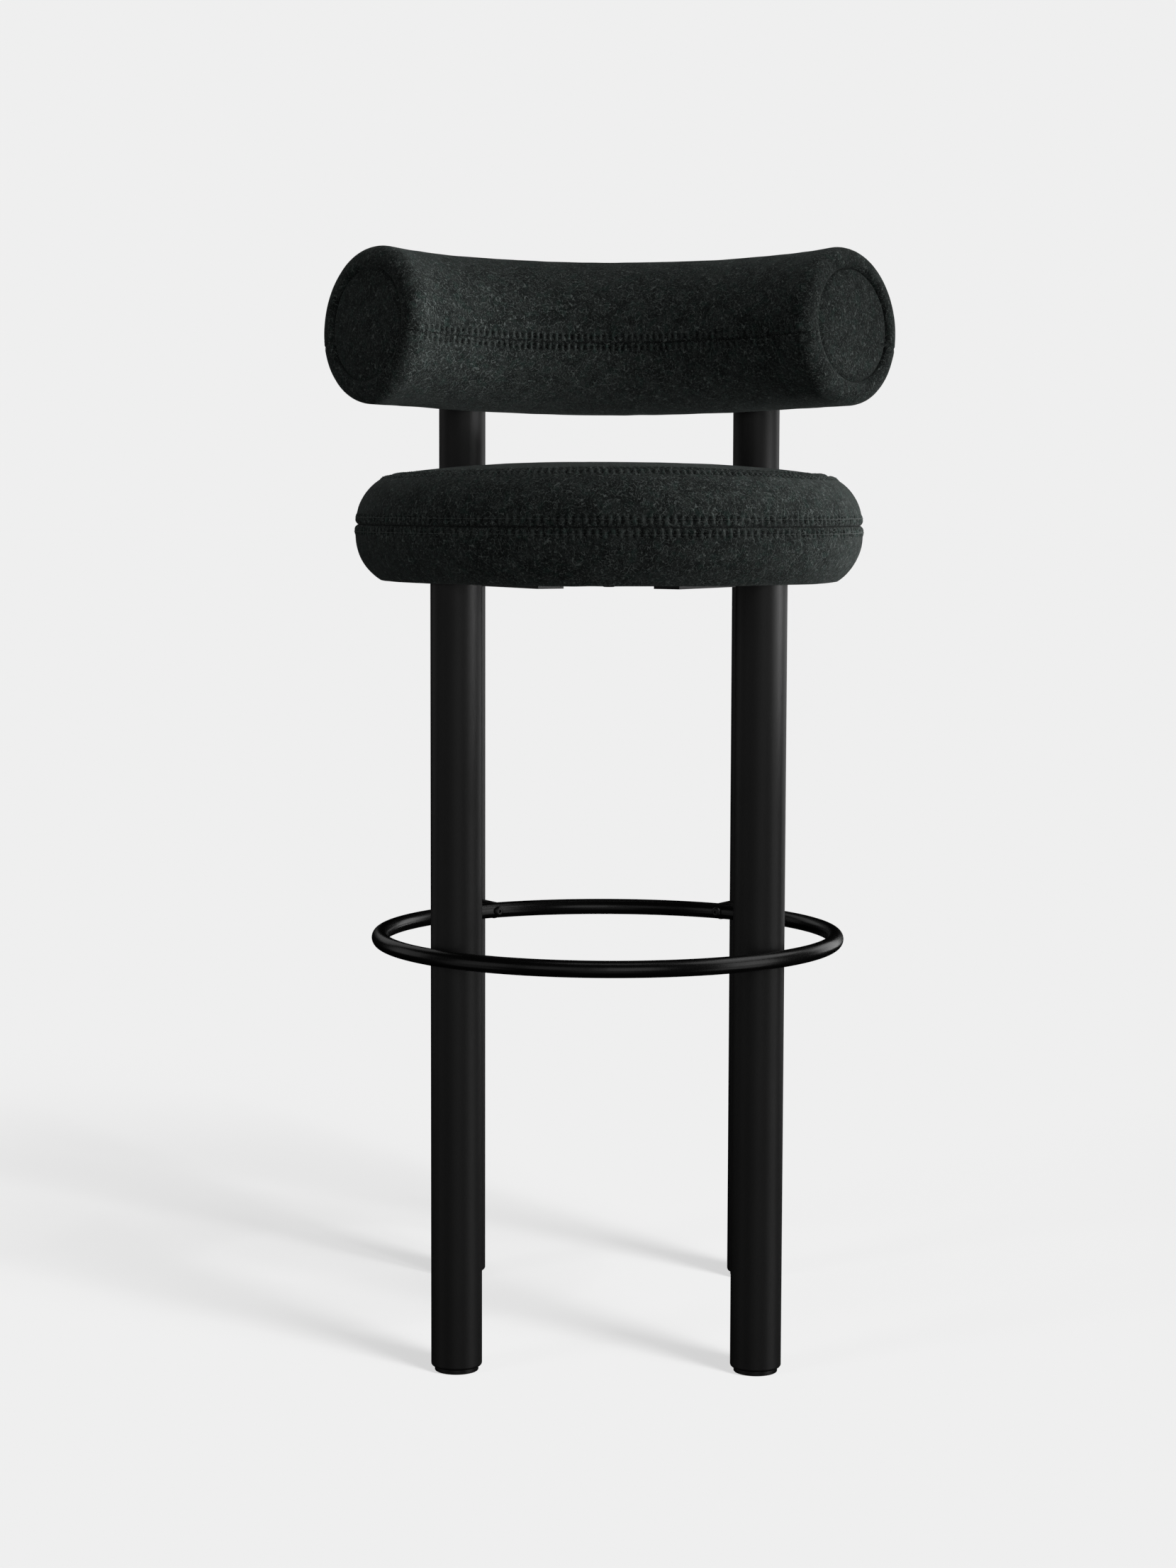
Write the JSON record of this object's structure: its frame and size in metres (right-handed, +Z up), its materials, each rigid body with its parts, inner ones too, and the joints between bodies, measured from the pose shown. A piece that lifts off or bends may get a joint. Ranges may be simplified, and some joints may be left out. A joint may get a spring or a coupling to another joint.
{
  "type": "bar stool",
  "caption": "Bar stool on upright tube legs with a ring footrest, a round padded seat and a curved bolster backrest in dark felted wool.",
  "frame": {"origin": "on the floor, under the middle of the object's overall box", "axes": "+Z up, +Y towards the backrest, +X to the right of somebody who faces the stool's front"},
  "size_m": [0.511, 0.4933, 0.9441],
  "materials": {
    "powder_coat": "fine-textured satin black powder coat",
    "powder_coat_gloss": "smooth semi-gloss black coat",
    "black_screws": "black oxide",
    "zinc_steel": "bright zinc plate",
    "raw_steel": "raw mild steel",
    "glide_plastic": "moulded black nylon",
    "plug_plastic": "moulded black polyethylene",
    "plywood": "birch plywood",
    "foam": "open-cell polyurethane foam",
    "dust_cloth": "black non-woven",
    "wool_felt": "milled charcoal melange wool"
  },
  "bodies": {
    "root": {"backrest_core": "raw_steel", "backrest_cover_lower": "wool_felt", "backrest_cover_upper": "wool_felt", "backrest_end_board_left": "plywood", "backrest_end_board_right": "plywood", "backrest_end_panel_left": "wool_felt", "backrest_end_panel_right": "wool_felt", "backrest_foam": "foam", "backrest_socket_left": "raw_steel", "backrest_socket_right": "raw_steel", "foot_plug_front_left": "plug_plastic", "foot_plug_front_right": "plug_plastic", "foot_plug_rear_left": "plug_plastic", "foot_plug_rear_right": "plug_plastic", "footrest_front_screws": "black_screws", "footrest_rear_screws": "black_screws", "footrest_ring": "powder_coat_gloss", "footrest_spacer_left": "powder_coat_gloss", "footrest_spacer_right": "powder_coat_gloss", "front_leg_screws": "zinc_steel", "glide_front_left": "glide_plastic", "glide_front_right": "glide_plastic", "glide_rear_left": "glide_plastic", "glide_rear_right": "glide_plastic", "leg_cap_left": "zinc_steel", "leg_cap_right": "zinc_steel", "leg_front_left": "powder_coat", "leg_front_right": "powder_coat", "leg_rear_left": "powder_coat", "leg_rear_right": "powder_coat", "saddle_bolts": "black_screws", "seat_arm_left": "powder_coat", "seat_arm_right": "powder_coat", "seat_board": "plywood", "seat_board_screws": "black_screws", "seat_cover_lower": "wool_felt", "seat_cover_top": "wool_felt", "seat_cover_upper": "wool_felt", "seat_dust_cover": "dust_cloth", "seat_foam": "foam", "seat_plate": "powder_coat", "seat_tee_nuts": "zinc_steel", "socket_grub_screws": "zinc_steel"}
  },
  "joints": []
}
